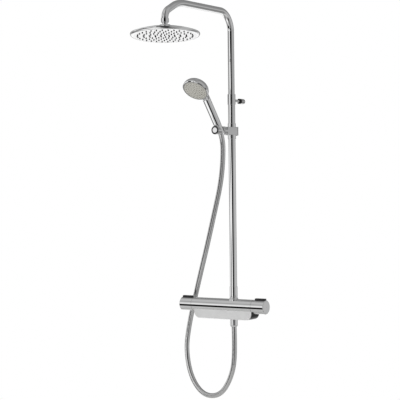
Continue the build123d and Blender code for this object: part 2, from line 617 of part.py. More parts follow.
with BuildPart() as nozzle_mat:
    ring(0, MAT_R, PLATE_LOW + PLATE_T, PLATE_LOW + PLATE_T + MAT_T, BALL)
    for radius, count, start in NOZZLE_RINGS:
        with Locations((RISER_X, HEAD_Y, BALL_Z + PLATE_LOW - NUB_PROUD)):
            with PolarLocations(radius, count, start):
                Cylinder(NUB_R, NUB_PROUD + PLATE_T + 0.5, align=(Align.CENTER, Align.CENTER, Align.MIN))

heading = math.radians(HEAD_TILT_HEADING)
TILT_AXIS = Axis(BALL, (math.cos(heading), math.sin(heading), 0))

# ---------------------------------------------------------------- hose outlet
NIPPLE_BORE_R = 5.5
NIPPLE_LOW = -52.0
HOSE_NUT_R = 11.6
HOSE_NUT_TOP = -41.5
HOSE_NUT_LOW = -63.5
OUTLET_WASHER_T = 2.0
HOSE_MOUTH_R = HOSE_R + 0.6

with BuildPart() as outlet_nipple:
    ring(NIPPLE_BORE_R, NIPPLE_R, NIPPLE_LOW, NIPPLE_TOP, RISER)

with BuildPart() as outlet_washer:
    ring(5.0, NIPPLE_R - SEAT, NIPPLE_LOW - OUTLET_WASHER_T, NIPPLE_LOW, RISER)

with BuildPart() as hose_lower_nut:
    shoulder = NIPPLE_LOW - OUTLET_WASHER_T
    turned(
        [(NIPPLE_R, HOSE_NUT_TOP), (HOSE_NUT_R - 0.6, HOSE_NUT_TOP), (HOSE_NUT_R, HOSE_NUT_TOP - 0.6),
         (HOSE_NUT_R, HOSE_NUT_LOW + 4), (HOSE_NUT_R - 1.4, HOSE_NUT_LOW), (HOSE_MOUTH_R, HOSE_NUT_LOW),
         (HOSE_MOUTH_R, shoulder), (NIPPLE_R, shoulder)],
        RISER,
    )

# ---------------------------------------------------------------- slider
BUSH_R = 12.5
BUSH_TOP = 24.0                 # above and below the slider's centre
BLOCK_ROUND = 3.0
PLATE_BACK_T = 3.0
TRUNNION_R = 6.0
TRUNNION_L = 19.0
CAP_SCREW_X = 10.3
CAP_SCREW_Z = 8.5
CAP_SCREW_L = 4.0
CAP_SCREW_R = 1.5


def back_screws(start, end, radius, mode=Mode.ADD):
    """The four screws of the slider's back plate, or their holes."""
    for dx in (-CAP_SCREW_X, CAP_SCREW_X):
        for dz in (-CAP_SCREW_Z, CAP_SCREW_Z):
            rod(radius, (RISER_X + dx, start, SLIDER_Z + dz), (RISER_X + dx, end, SLIDER_Z + dz), mode)


SLIDER = (RISER_X, RISER_Y, SLIDER_Z)
BLOCK_Y0 = RISER_Y - BLOCK_FRONT
BLOCK_Y1 = RISER_Y + BLOCK_BACK

with BuildPart() as slider_bush:
    turned(
        [(TUBE_R + RUN, -BUSH_TOP), (BUSH_R - 0.5, -BUSH_TOP), (BUSH_R, -BUSH_TOP + 0.5), (BUSH_R, BUSH_TOP - 0.5),
         (BUSH_R - 0.5, BUSH_TOP), (TUBE_R + RUN, BUSH_TOP)],
        SLIDER,
    )

with BuildPart() as slider_block:
    with Locations((RISER_X, (BLOCK_Y0 + BLOCK_Y1) / 2, SLIDER_Z)):
        Box(BLOCK_W, BLOCK_Y1 - BLOCK_Y0, BLOCK_H)
    fillet(slider_block.edges().filter_by(Axis.Z).sort_by(Axis.Y)[:2], radius=BLOCK_ROUND)
    fillet(slider_block.edges().filter_by(lambda e: abs(e.center().Z - SLIDER_Z) > BLOCK_H / 2 - 0.01
                                          and e.center().Y < BLOCK_Y1 - 0.01), radius=0.8)
    rod(BUSH_R, (RISER_X, RISER_Y, SLIDER_Z - BLOCK_H), (RISER_X, RISER_Y, SLIDER_Z + BLOCK_H), Mode.SUBTRACT)
    rod(TRUNNION_R + RUN, (RISER_X, BLOCK_Y0 - 1, SLIDER_Z), (RISER_X, BLOCK_Y0 + TRUNNION_L + TRAVEL_GAP, SLIDER_Z),
        Mode.SUBTRACT)
    back_screws(BLOCK_Y1 - CAP_SCREW_L, BLOCK_Y1, CAP_SCREW_R, Mode.SUBTRACT)

with BuildPart() as slider_back:
    with Locations((RISER_X, BLOCK_Y1 + PLATE_BACK_T / 2, SLIDER_Z)):
        Box(BLOCK_W + 1, PLATE_BACK_T, BLOCK_H + 3)
    fillet(slider_back.edges().filter_by(Axis.Y), radius=1.5)
    back_screws(BLOCK_Y1, BLOCK_Y1 + PLATE_BACK_T, CAP_SCREW_R, Mode.SUBTRACT)

with BuildPart() as slider_screws:
    back_screws(BLOCK_Y1 - CAP_SCREW_L, BLOCK_Y1 + PLATE_BACK_T, CAP_SCREW_R)
    back_screws(BLOCK_Y1 + PLATE_BACK_T, BLOCK_Y1 + PLATE_BACK_T + 1.2, CAP_SCREW_R + 1.1)

# ---------------------------------------------------------------- cradle, in the handset's own frame
lean = math.radians(HANDSET_LEAN)
ALONG = Vector(0, -math.sin(lean), math.cos(lean))
AHEAD = Vector(0, -math.cos(lean), -math.sin(lean))
CRADLE_CENTRE = Vector(RISER_X, RISER_Y - CRADLE_REACH, SLIDER_Z)


def on_handset(along, ahead=0.0):
    """A point given along the handset's axis from the cradle's centre, and in front of that axis."""
    return CRADLE_CENTRE + ALONG * along + AHEAD * ahead


CONE_LOW = -9.0
CONE_TOP = 28.0
CONE_LOW_R = 9.9
CRADLE_FIT = 0.25
CRADLE_HOLE = 45.0      # the hole is cut this far along the handset each way
CRADLE_EDGE = 1.2
SLOT_W = 17.0           # the side slot lets the hose through


def cone_r(along):
    """Outside radius of the hose's conical nut."""
    return CONE_LOW_R + (GRIP_R - CONE_LOW_R) * (along - CONE_LOW) / (CONE_TOP - CONE_LOW)


with BuildPart() as cradle:
    rod(TRUNNION_R, (RISER_X, BLOCK_Y0 + TRUNNION_L, SLIDER_Z), (RISER_X, BLOCK_Y0 - TRAVEL_GAP - 1, SLIDER_Z))
    turned(
        [(0, BLOCK_Y0 - TRAVEL_GAP), (CRADLE_R, BLOCK_Y0 - TRAVEL_GAP),
         (CRADLE_R, RISER_Y - CRADLE_FRONT + CRADLE_EDGE), (CRADLE_R - CRADLE_EDGE, RISER_Y - CRADLE_FRONT),
         (0, RISER_Y - CRADLE_FRONT)],
        (RISER_X, 0, SLIDER_Z), (0, 1, 0),
    )
    turned(
        [(0, -CRADLE_HOLE), (cone_r(CONE_LOW) + CRADLE_FIT, -CRADLE_HOLE), (cone_r(CONE_LOW) + CRADLE_FIT, CONE_LOW),
         (GRIP_R + CRADLE_FIT, CONE_TOP), (GRIP_R + CRADLE_FIT, CRADLE_HOLE), (0, CRADLE_HOLE)],
        CRADLE_CENTRE, ALONG, Mode.SUBTRACT,
    )
    with BuildSketch(Plane(origin=on_handset(-CRADLE_HOLE), x_dir=(1, 0, 0), z_dir=ALONG)) as slot:
        Rectangle(2 * CRADLE_R, SLOT_W, align=(Align.MIN, Align.CENTER))
    extrude(amount=2 * CRADLE_HOLE, mode=Mode.SUBTRACT)

# ---------------------------------------------------------------- handset
THREAD_R = 9.6
THREAD_LOW = 21.0
HANDSET_WASHER_T = 1.5
NUT_CAVITY_LOW_R = 8.8
NUT_CAVITY_TOP_R = 10.4
GRIP_BORE_R = 8.0
GRIP_TOP = 118.0
NECK_ALONG = 158.0
NECK_AHEAD = 14.0
NECK_HALF_W = 24.5
NECK_HALF_T = 11.0
RIM_R = 40.0
RIM_T = 4.0
DOME_H = 29.5
DOME_WALL = 3.0
SPRAY_RINGS = ((29.5, 20), (21.5, 14), (13.5, 9), (6.0, 4))
SPRAY_NUB_R = 1.2

FACE_CENTRE = on_handset(FACE_ALONG, FACE_AHEAD)
droop = math.radians(FACE_DROOP)
FACE_OUT = AHEAD * math.cos(droop) - ALONG * math.sin(droop)
FACE_BACK = FACE_OUT * -1

with BuildPart() as hose_cone_nut:
    turned(
        [(NUT_CAVITY_LOW_R, CONE_LOW), (CONE_LOW_R, CONE_LOW), (GRIP_R, CONE_TOP), (THREAD_R, CONE_TOP),
         (THREAD_R, THREAD_LOW - HANDSET_WASHER_T), (NUT_CAVITY_TOP_R, THREAD_LOW - HANDSET_WASHER_T)],
        CRADLE_CENTRE, ALONG,
    )

with BuildPart() as handset_washer:
    ring(5.0, THREAD_R, THREAD_LOW - HANDSET_WASHER_T, THREAD_LOW, CRADLE_CENTRE, ALONG)

with BuildPart() as handset_body:
    ring(0, THREAD_R, THREAD_LOW, CONE_TOP + 1, CRADLE_CENTRE, ALONG)
    ring(0, GRIP_R, CONE_TOP, GRIP_TOP, CRADLE_CENTRE, ALONG)
    with BuildSketch(Plane(origin=on_handset(GRIP_TOP), x_dir=(1, 0, 0), z_dir=ALONG)):
        Circle(GRIP_R)
    with BuildSketch(Plane(origin=on_handset(NECK_ALONG, NECK_AHEAD), x_dir=(1, 0, 0), z_dir=ALONG)):
        Ellipse(NECK_HALF_W, NECK_HALF_T)
    loft()
    turned(
        [(0, RIM_T), (RIM_R - 0.2, RIM_T), ((34.8, 18.0), (14.0, DOME_H - 1.5)), (0, DOME_H)],
        FACE_CENTRE, FACE_BACK,
    )
    turned(
        [(0, RIM_T), (FACE_R - 1.6, RIM_T), ((30.4, 15.6), (12.0, DOME_H - 1.5 - DOME_WALL)), (0, DOME_H - DOME_WALL)],
        FACE_CENTRE, FACE_BACK, Mode.SUBTRACT,
    )
    rod(GRIP_BORE_R - 1.5, tuple(on_handset(THREAD_LOW - 1)), tuple(on_handset(CONE_TOP + 6)), Mode.SUBTRACT)
    rod(GRIP_BORE_R, tuple(on_handset(CONE_TOP + 6)), tuple(on_handset(GRIP_TOP - 2)), Mode.SUBTRACT)
    rod(GRIP_BORE_R - 2.5, tuple(on_handset(GRIP_TOP - 6)), tuple(on_handset(NECK_ALONG, NECK_AHEAD + 4)), Mode.SUBTRACT)

with BuildPart() as handset_rim:
    turned(
        [(FACE_R, -0.6), (RIM_R - 1.8, -0.6), (RIM_R, 1.2), (RIM_R, RIM_T), (FACE_R, RIM_T)],
        FACE_CENTRE, FACE_BACK,
    )

SPRAY_PLATE_T = 2.6
SPRAY_MAT_T = 1.2

with BuildPart() as spray_plate:
    ring(0, FACE_R, RIM_T - SPRAY_PLATE_T - SPRAY_MAT_T, RIM_T - SPRAY_MAT_T, FACE_CENTRE, FACE_BACK)
    for radius, count in SPRAY_RINGS:
        with Locations(Plane(origin=FACE_CENTRE, x_dir=(1, 0, 0), z_dir=FACE_OUT)):
            with PolarLocations(radius, count):
                Cylinder(SPRAY_NUB_R + 0.05, 4 * RIM_T, mode=Mode.SUBTRACT)

with BuildPart() as spray_mat:
    ring(0, FACE_R, RIM_T - SPRAY_MAT_T, RIM_T, FACE_CENTRE, FACE_BACK)
    for radius, count in SPRAY_RINGS:
        with Locations(Plane(origin=FACE_CENTRE + FACE_OUT * 1.0, x_dir=(1, 0, 0), z_dir=FACE_BACK)):
            with PolarLocations(radius, count):
                Cylinder(SPRAY_NUB_R, RIM_T - SPRAY_MAT_T + 1.5, align=(Align.CENTER, Align.CENTER, Align.MIN))

# ---------------------------------------------------------------- hose
HOSE_TOP_ALONG = 18.5
HOSE_FOOT = NIPPLE_LOW - OUTLET_WASHER_T - 0.5
HOSE_ROUTE = [
    tuple(on_handset(HOSE_TOP_ALONG)),
    tuple(on_handset(-22.0)),
    (34, -87, 462),
    (15, -72, 380),
    (-22, -57, 282),
    (-60, -41, 182),
    (-98, -24, 92),
    (-133, -7, 8),
    (-158, -1, -70),
    (-170, -4, -150),
    (-146, -13, -238),
    (-92, -22, -291),
    (-20, -32, -284),
    (27, -38, -216),
    (RISER_X + 3, RISER_Y, -140),
    (RISER_X, RISER_Y, HOSE_FOOT),
]


def bend_radii(points):
    """The arc at each turn: 0.45 of the shorter run beside it, over the tangent of half the turn."""
    radii = []
    for a, b, c in zip(points, points[1:], points[2:]):
        before, after = Vector(*b) - Vector(*a), Vector(*c) - Vector(*b)
        turn = math.radians(before.get_angle(after))
        radii.append(0.45 * min(before.length, after.length) / math.tan(turn / 2))
    return radii


with BuildPart() as hose:
    radii = bend_radii(HOSE_ROUTE)
    with BuildLine() as hose_route:
        FilletPolyline(*HOSE_ROUTE, radius=radii)
    with BuildSketch(Plane(origin=hose_route.line @ 0, z_dir=hose_route.line % 0)):
        Circle(HOSE_R)
    sweep()

hose_length = hose_route.wires()[0].length
print("hose radii", [round(r) for r in radii])
print("hose length", round(hose_length), "volume over section x length",
      round(hose.part.volume / (math.pi * HOSE_R**2 * hose_length), 4))

# ---------------------------------------------------------------- export
HEAD_PIECES = {
    "ball_ring": ball_ring, "ball_nut": ball_nut, "head_shell": head_shell, "face_plate": face_plate,
    "head_gasket": head_gasket, "nozzle_mat": nozzle_mat,
}
PIECES = {
    "valve_body": valve_body, "lower_housing": lower_housing, "housing_screws": housing_screws,
    "inlet_tails": inlet_tails, "inlet_nuts": inlet_nuts, "inlet_washers": inlet_washers,
    "check_valves": check_valves, "temp_cartridge": temp_cartridge, "flow_cartridge": flow_cartridge,
    "temp_handle": temp_handle, "temp_spindle": temp_spindle, "temp_handle_screw": temp_handle_screw,
    "temp_end_cap": temp_end_cap, "temp_stop_button": temp_stop_button,
    "flow_handle": flow_handle, "flow_spindle": flow_spindle, "flow_handle_screw": flow_handle_screw,
    "flow_end_cap": flow_end_cap, "flow_stop_button": flow_stop_button,
    "riser_connector": riser_connector, "riser_seals": riser_seals, "lower_tube": lower_tube,
    "tube_collar": tube_collar, "collar_set_screw": collar_set_screw, "bracket_neck": bracket_neck,
    "wall_standoff": wall_standoff, "wall_base": wall_base, "standoff_grub": standoff_grub,
    "guide_bush": guide_bush, "bush_seal": bush_seal, "upper_tube": upper_tube, "arm_nut": arm_nut,
    "stem_washer": stem_washer, "ball_stem": ball_stem,
    "outlet_nipple": outlet_nipple, "outlet_washer": outlet_washer, "hose_lower_nut": hose_lower_nut,
    "slider_bush": slider_bush, "slider_block": slider_block, "slider_back": slider_back,
    "slider_screws": slider_screws, "cradle": cradle, "hose_cone_nut": hose_cone_nut,
    "handset_washer": handset_washer, "handset_body": handset_body, "handset_rim": handset_rim,
    "spray_plate": spray_plate, "spray_mat": spray_mat, "hose": hose,
}

for node, piece in PIECES.items():
    save(piece.part, node)
for node, piece in HEAD_PIECES.items():
    save(piece.part.rotate(TILT_AXIS, HEAD_TILT), node)
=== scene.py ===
# %% [markdown]
# # A rainfall shower column
# The real object is a bar mixer with a telescopic riser, a rain head, a handset on a slider and a hose.
# Its solids come from a CAD model, so every piece already has its true size and place, in metres.
# This lesson loads that model, gives each finish a procedural material, and adds what repeats or
# bends: the hose with its steel winding, and the rubber nozzles of the rain head and the handset.

# %% Load the model
import json
import math

import bmesh
import bpy
from mathutils import Matrix, Vector


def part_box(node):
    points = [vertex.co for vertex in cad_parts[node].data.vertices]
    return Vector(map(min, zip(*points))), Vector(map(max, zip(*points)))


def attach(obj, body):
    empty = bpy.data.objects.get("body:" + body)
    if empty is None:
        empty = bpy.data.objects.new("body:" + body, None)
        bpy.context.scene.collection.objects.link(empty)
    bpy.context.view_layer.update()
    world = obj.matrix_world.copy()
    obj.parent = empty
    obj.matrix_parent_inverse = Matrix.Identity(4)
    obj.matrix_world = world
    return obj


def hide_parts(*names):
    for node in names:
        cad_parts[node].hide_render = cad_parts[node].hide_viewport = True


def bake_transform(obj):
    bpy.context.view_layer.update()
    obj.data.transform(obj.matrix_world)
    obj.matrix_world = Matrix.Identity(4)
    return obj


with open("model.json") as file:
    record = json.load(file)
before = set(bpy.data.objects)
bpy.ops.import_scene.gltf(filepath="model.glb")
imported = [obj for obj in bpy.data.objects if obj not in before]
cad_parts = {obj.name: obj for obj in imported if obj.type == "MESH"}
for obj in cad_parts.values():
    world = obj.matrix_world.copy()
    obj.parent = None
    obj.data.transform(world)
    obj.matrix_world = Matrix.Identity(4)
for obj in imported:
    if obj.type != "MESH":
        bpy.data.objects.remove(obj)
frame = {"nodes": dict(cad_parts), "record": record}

scene = bpy.context.scene
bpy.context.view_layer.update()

# %% [markdown]
# ## The camera
# A product picture of something this tall is taken from far away with a long lens, so that the top
# and the bottom aren't distorted. The camera stands to the right of the mixer at the middle of
# its height. Building its matrix from three directions is surer than turning it by hand.

# %% Camera
HEADING, RISE, ROLL = math.radians(34.0), math.radians(0.25), math.radians(-0.65)
LENS_MM, SENSOR_MM = 107.16, 36.0

back = Vector((math.sin(HEADING) * math.cos(RISE), -math.cos(HEADING) * math.cos(RISE), math.sin(RISE)))
right = Vector((math.cos(HEADING), math.sin(HEADING), 0.0))
up = right.cross(-back)
across = right * math.cos(ROLL) + up * math.sin(ROLL)
upward = up * math.cos(ROLL) - right * math.sin(ROLL)

camera = bpy.data.objects.new("camera", bpy.data.cameras.new("camera"))
camera.data.lens, camera.data.sensor_width = LENS_MM, SENSOR_MM
camera.matrix_world = Matrix.Translation((2.00853, -3.14395, 0.34407)) @ Matrix(
    (across, upward, back)).transposed().to_4x4()
scene.collection.objects.link(camera)
scene.camera = camera
scene.view_settings.view_transform = "Standard"
print("camera", [round(v, 2) for v in camera.location], "lens", LENS_MM)

# %% [markdown]
# ## Small helpers for node trees
# Materials, the world and Geometry Nodes are all trees of nodes. One helper makes a node, sets its
# properties and fills or links its inputs, which keeps each tree short enough to read.

# %% Node helpers
def put(tree, kind, inputs=None, **settings):
    """A new node. An input takes a number, a colour or the output socket of another node."""
    made = tree.nodes.new(kind)
    for name, value in settings.items():
        setattr(made, name, value)
    for key, value in (inputs or {}).items():
        if isinstance(value, bpy.types.NodeSocket):
            tree.links.new(value, made.inputs[key])
        else:
            made.inputs[key].default_value = value
    return made


def calc(tree, operation, a, b=0.0, clamp=False):
    return put(tree, "ShaderNodeMath", {0: a, 1: b}, operation=operation, use_clamp=clamp).outputs[0]


def rescale(tree, value, low, high, to_low=0.0, to_high=1.0, smooth=False):
    return put(tree, "ShaderNodeMapRange", {0: value, 1: low, 2: high, 3: to_low, 4: to_high},
               interpolation_type="SMOOTHSTEP" if smooth else "LINEAR").outputs[0]


def ramp(tree, value, stops):
    """A colour ramp of greys, given as (place, level)."""
    made = put(tree, "ShaderNodeValToRGB", {0: value})
    points = made.color_ramp.elements
    while len(points) < len(stops):
        points.new(0.5)
    for point, (place, level) in zip(points, stops):
        point.position = place
    for point, (place, level) in zip(points, stops):
        point.color = (level, level, level, 1.0)
    return made.outputs[0]

print("helpers ready")

# %% [markdown]
# ## The studio that chrome mirrors
# Chrome has no look of its own: it shows the room. A studio gives it a large white panel on the left,
# a dark gap where the camera stands, grey walls and a pale table. A world whose brightness
# depends on direction does this without noise. Six bands of light run round the compass, one above
# the other, and the elevation blends from one to the next. What the camera sees directly stays
# plain white.

# %% Studio world
COMPASS = 360.0
world = bpy.data.worlds.new("studio")
scene.world = world
world.use_nodes = True
sky = world.node_tree
sky.nodes.clear()

direction = put(sky, "ShaderNodeSeparateXYZ", {0: put(sky, "ShaderNodeTexCoord").outputs["Generated"]})
compass = calc(sky, "ARCTAN2", direction.outputs[0], calc(sky, "MULTIPLY", direction.outputs[1], -1.0))
compass = calc(sky, "ADD", calc(sky, "DIVIDE", compass, 2 * math.pi), 0.5)
elevation = calc(sky, "MULTIPLY", calc(sky, "ARCSINE", direction.outputs[2]), 180.0 / math.pi)


def band(stops):
    """A ring of light round the compass, given as (heading in degrees, level)."""
    return ramp(sky, compass, [((heading + 180.0) / COMPASS, level) for heading, level in stops])


level_band = band([
    (-180, 0.34), (-150, 0.22), (-100, 0.44), (-80, 0.72), (-60, 0.86), (-14, 0.92), (-6, 1.05), (6, 1.05),
    (8, 0.006), (49, 0.006), (53, 0.38), (84, 0.36), (96, 0.56), (126, 0.56), (140, 0.50), (152, 0.48),
    (180, 0.34)])
upper_band = band([
    (-180, 0.34), (-150, 0.24), (-100, 0.46), (-74, 0.52), (-67, 0.05), (-46, 0.05), (-41, 0.72), (-12, 1.02),
    (6, 1.02), (8, 0.008), (49, 0.008), (53, 0.34), (84, 0.32), (96, 0.44), (126, 0.44), (140, 0.32),
    (180, 0.34)])
shelf_band = band([
    (-180, 0.34), (-150, 0.24), (-100, 0.46), (-74, 0.52), (-67, 0.05), (-46, 0.05), (-41, 0.80), (-22, 1.05),
    (-10, 1.05), (-4, 0.008), (56, 0.008), (62, 0.34), (96, 0.44), (126, 0.44), (140, 0.32), (180, 0.34)])
high_band = band([
    (-180, 0.24), (-110, 0.26), (-85, 0.52), (0, 0.52), (24, 0.10), (44, 0.10), (60, 0.40),
    (130, 0.40), (150, 0.26), (180, 0.24)])
low_band = band([
    (-180, 0.60), (-165, 1.05), (-125, 1.05), (-112, 0.14), (-92, 0.14), (-84, 0.56), (15, 0.56),
    (24, 0.10), (44, 0.10), (60, 0.36), (130, 0.46), (150, 0.22), (172, 0.26), (180, 0.60)])
table_band = band([
    (-180, 0.40), (-120, 0.20), (-96, 0.20), (-86, 1.05), (0, 1.05), (22, 0.30), (38, 0.012),
    (90, 0.012), (104, 0.60), (150, 0.60), (180, 0.40)])
print("six bands of light")

# %% Bands into one sky
def blend_light(share, first, second):
    return put(sky, "ShaderNodeMix", {0: share, 6: first, 7: second}, data_type="RGBA").outputs[2]


def between(value, start, full, last_full, end):
    """One between two limits and nothing outside them, with soft edges."""
    return calc(sky, "MULTIPLY", rescale(sky, value, start, full, smooth=True),
                rescale(sky, value, end, last_full, smooth=True))


ZENITH = (0.30, 0.30, 0.30, 1.0)
light = blend_light(rescale(sky, elevation, 1.0, 5.0, smooth=True), level_band, upper_band)
light = blend_light(rescale(sky, elevation, 5.5, 7.5, smooth=True), light, shelf_band)
light = blend_light(rescale(sky, elevation, 12.0, 20.0, smooth=True), light, high_band)
light = blend_light(rescale(sky, elevation, -7.0, -14.0, smooth=True), light, low_band)
light = blend_light(rescale(sky, elevation, -42.0, -50.0, smooth=True), light, table_band)
light = blend_light(rescale(sky, elevation, 58.0, 78.0, smooth=True), light, ZENITH)

# the left panel ends in a dark gap above the table, with a notch under the bar's middle, and has a thin
# joint higher up; the compass runs from 0 to 1
BLACK, JOINT_GREY = (0.008, 0.008, 0.008, 1.0), (0.22, 0.22, 0.22, 1.0)
panel_side = between(compass, 0.28, 0.31, 0.47, 0.50)
gap = between(elevation, -29.0, -25.0, -8.0, -6.0)
joint = between(elevation, 29.0, 33.0, 35.0, 39.0)
notch_side = between(compass, 0.370, 0.382, 0.430, 0.442)
notch = calc(sky, "MULTIPLY", notch_side, calc(sky, "MULTIPLY", rescale(sky, elevation, -12.0, -9.0),
                                               rescale(sky, elevation, -1.0, -2.5, smooth=True)))
dark = calc(sky, "MAXIMUM", calc(sky, "MULTIPLY", panel_side, gap), notch)
light = blend_light(dark, light, BLACK)
light = blend_light(calc(sky, "MULTIPLY", panel_side, calc(sky, "MULTIPLY", joint, 0.8)), light, JOINT_GREY)

studio = put(sky, "ShaderNodeBackground", {0: light, 1: 1.0})
white = put(sky, "ShaderNodeBackground", {0: (1.0, 1.0, 1.0, 1.0), 1: 1.0})
seen = put(sky, "ShaderNodeLightPath").outputs["Is Camera Ray"]
put(sky, "ShaderNodeOutputWorld", {0: put(sky, "ShaderNodeMixShader", {0: seen, 1: studio.outputs[0],
                                                                     2: white.outputs[0]}).outputs[0]})
print("studio world with", len(sky.nodes), "nodes")

# %% [markdown]
# ## Floor and lamps
# The column hangs on a wall, so the floor is a pale round table top below it. Two large soft lamps
# light the matt pieces; they are hidden from reflections, because chrome would show them as
# hard white shapes.

# %% Floor and lamps
FLOOR_Y, FLOOR_Z, FLOOR_R = -0.10, -0.42, 0.50
floor_mesh = bpy.data.meshes.new("table_top")
shape = bmesh.new()
bmesh.ops.create_circle(shape, cap_ends=True, segments=96, radius=FLOOR_R)
bmesh.ops.translate(shape, vec=(0.0, FLOOR_Y, FLOOR_Z), verts=shape.verts)
shape.to_mesh(floor_mesh)
shape.free()
floor = bpy.data.objects.new("table_top", floor_mesh)
scene.collection.objects.link(floor)

paper = bpy.data.materials.new("pale_table")
paper.use_nodes = True
paper.node_tree.nodes["Principled BSDF"].inputs["Base Color"].default_value = (0.86, 0.86, 0.85, 1.0)
paper.node_tree.nodes["Principled BSDF"].inputs["Roughness"].default_value = 0.8
floor_mesh.materials.append(paper)


def soft_lamp(name, place, target, size, watts):
    lamp = bpy.data.lights.new(name, "AREA")
    lamp.shape, lamp.size, lamp.energy = "DISK", size, watts
    lit = bpy.data.objects.new(name, lamp)
    lit.matrix_world = Matrix.Translation(place) @ (
        Vector(target) - Vector(place)).to_track_quat("-Z", "Y").to_matrix().to_4x4()
    lit.visible_glossy = False
    lit.visible_camera = False
    scene.collection.objects.link(lit)
    return lit


soft_lamp("key_lamp", (-1.2, -2.4, 1.6), (0.0, -0.1, 0.3), 1.6, 34.0)
soft_lamp("low_lamp", (0.8, -2.2, -0.35), (0.0, -0.2, 0.6), 1.2, 16.0)
print("floor at", FLOOR_Z, "m and two lamps")

# %% [markdown]
# ## Chrome
# Chrome plate is a mirror, and what makes it real are small faults: a faint waviness in the polish,
# fine wiping marks and a little haze. Roughness and a weak bump carry them, both from
# noise on Object coordinates, so that they stay on the piece when it moves.

# %% Finishes
def finish_of(name, colour, metallic, roughness, coat=0.0):
    """A material with the values that are the same all over already set on its shader."""
    made = bpy.data.materials.new(name)
    made.use_nodes = True
    tree = made.node_tree
    shader = tree.nodes["Principled BSDF"]
    shader.inputs["Base Color"].default_value = (*colour, 1.0)
    shader.inputs["Metallic"].default_value = metallic
    shader.inputs["Roughness"].default_value = roughness
    shader.inputs["Coat Weight"].default_value = coat
    return made, tree, shader


def noise(tree, scale, detail=3.0, stretch=None):
    place = put(tree, "ShaderNodeTexCoord").outputs["Object"]
    if stretch:
        place = put(tree, "ShaderNodeMapping", {0: place, 3: stretch}).outputs[0]
    return put(tree, "ShaderNodeTexNoise", {"Vector": place, "Scale": scale, "Detail": detail}).outputs[0]


def tint(tree, shader, value, dark, light):
    mixed = put(tree, "ShaderNodeMix", {0: value, 6: (*dark, 1.0), 7: (*light, 1.0)}, data_type="RGBA")
    tree.links.new(mixed.outputs[2], shader.inputs["Base Color"])


def bumpy(tree, shader, height, strength, distance):
    bump = put(tree, "ShaderNodeBump", {"Height": height, "Strength": strength, "Distance": distance})
    tree.links.new(bump.outputs[0], shader.inputs["Normal"])


def plated(name, dark, light, smooth_low, smooth_high, wipe=(60.0, 60.0, 900.0)):
    """A plated metal: slight haze, wiping marks along the piece and a faint waviness."""
    made, tree, shader = finish_of(name, light, 1.0, smooth_low)
    haze = noise(tree, 38.0, 4.0)
    marks = noise(tree, 1.0, 5.0, stretch=wipe)
    worn = calc(tree, "ADD", calc(tree, "MULTIPLY", haze, 0.6), calc(tree, "MULTIPLY", marks, 0.4))
    tree.links.new(rescale(tree, worn, 0.35, 0.7, smooth_low, smooth_high), shader.inputs["Roughness"])
    tint(tree, shader, haze, dark, light)
    bumpy(tree, shader, noise(tree, 16.0, 2.0), 0.03, 0.0005)
    return made


chrome = plated("chrome_plate", (0.87, 0.875, 0.88), (0.93, 0.93, 0.93), 0.014, 0.045)
brass = plated("turned_brass", (0.66, 0.46, 0.20), (0.80, 0.60, 0.29), 0.16, 0.34, (900.0, 900.0, 60.0))
screw_steel = plated("screw_steel", (0.50, 0.50, 0.50), (0.66, 0.66, 0.65), 0.16, 0.32)
print("plated finishes", chrome.name, brass.name, screw_steel.name)

# %% [markdown]
# ## The matt pieces
# The rain head's face is satin metal, the handset's face is a warm grey moulding, and the rubber and
# black plastic parts are dull. Each has its own grain: brushed rings, a fine moulded texture or
# the soft speckle of silicone.

# %% Satin, moulded and rubber finishes
def satin_face():
    """Satin plate with faint turning rings about the head's own middle."""
    made, tree, shader = finish_of("satin_plate", (0.92, 0.92, 0.92), 1.0, 0.24)
    low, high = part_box("face_plate")
    centre = (low + high) / 2
    place = put(tree, "ShaderNodeMapping", {0: put(tree, "ShaderNodeTexCoord").outputs["Object"],
                                            1: (-centre.x, -centre.y, -centre.z)}).outputs[0]
    rings = put(tree, "ShaderNodeTexWave",
                {"Vector": place, "Scale": 220.0, "Distortion": 0.6, "Detail": 2.0},
                wave_type="RINGS", rings_direction="Z").outputs[1]
    haze = noise(tree, 45.0, 4.0)
    tree.links.new(rescale(tree, haze, 0.3, 0.7, 0.20, 0.30), shader.inputs["Roughness"])
    tint(tree, shader, haze, (0.88, 0.88, 0.885), (0.95, 0.95, 0.95))
    bumpy(tree, shader, rings, 0.05, 0.0001)
    return made


def moulded(name, dark, light, rough, grain=900.0, depth=0.00005, coat=0.0):
    """A moulded plastic or rubber, with a fine grain in its surface and a slow drift in its colour."""
    made, tree, shader = finish_of(name, light, 0.0, rough, coat)
    tint(tree, shader, noise(tree, 30.0, 3.0), dark, light)
    grains = noise(tree, grain, 2.0)
    tree.links.new(rescale(tree, grains, 0.3, 0.7, rough * 0.85, rough * 1.15), shader.inputs["Roughness"])
    bumpy(tree, shader, grains, 0.25, depth)
    return made


rain_face = satin_face()
dark_plastic = moulded("black_moulding", (0.012, 0.012, 0.013), (0.022, 0.022, 0.023), 0.42)
black_rubber = moulded("black_rubber", (0.018, 0.018, 0.018), (0.030, 0.030, 0.030), 0.75)
nozzle_rubber = moulded("grey_silicone", (0.010, 0.010, 0.011), (0.022, 0.022, 0.023), 0.62)
spray_face = moulded("warm_grey_moulding", (0.50, 0.49, 0.44), (0.62, 0.61, 0.56), 0.45)
spray_rubber = moulded("warm_silicone", (0.34, 0.33, 0.29), (0.46, 0.45, 0.41), 0.6)
print("matt finishes ready")

# %% [markdown]
# ## Pieces with two finishes
# Three pieces are one solid each, but show two finishes. The cover under the bar is a satin moulding
# with black cheeks, the wall post wears a black rubber cap, and the cradle has a black ring let into
# its front. Cutting them up would change the model, so one material holds both finishes, and a mask
# from Object coordinates tells them apart. The mask is nothing on the metal and one on the black.

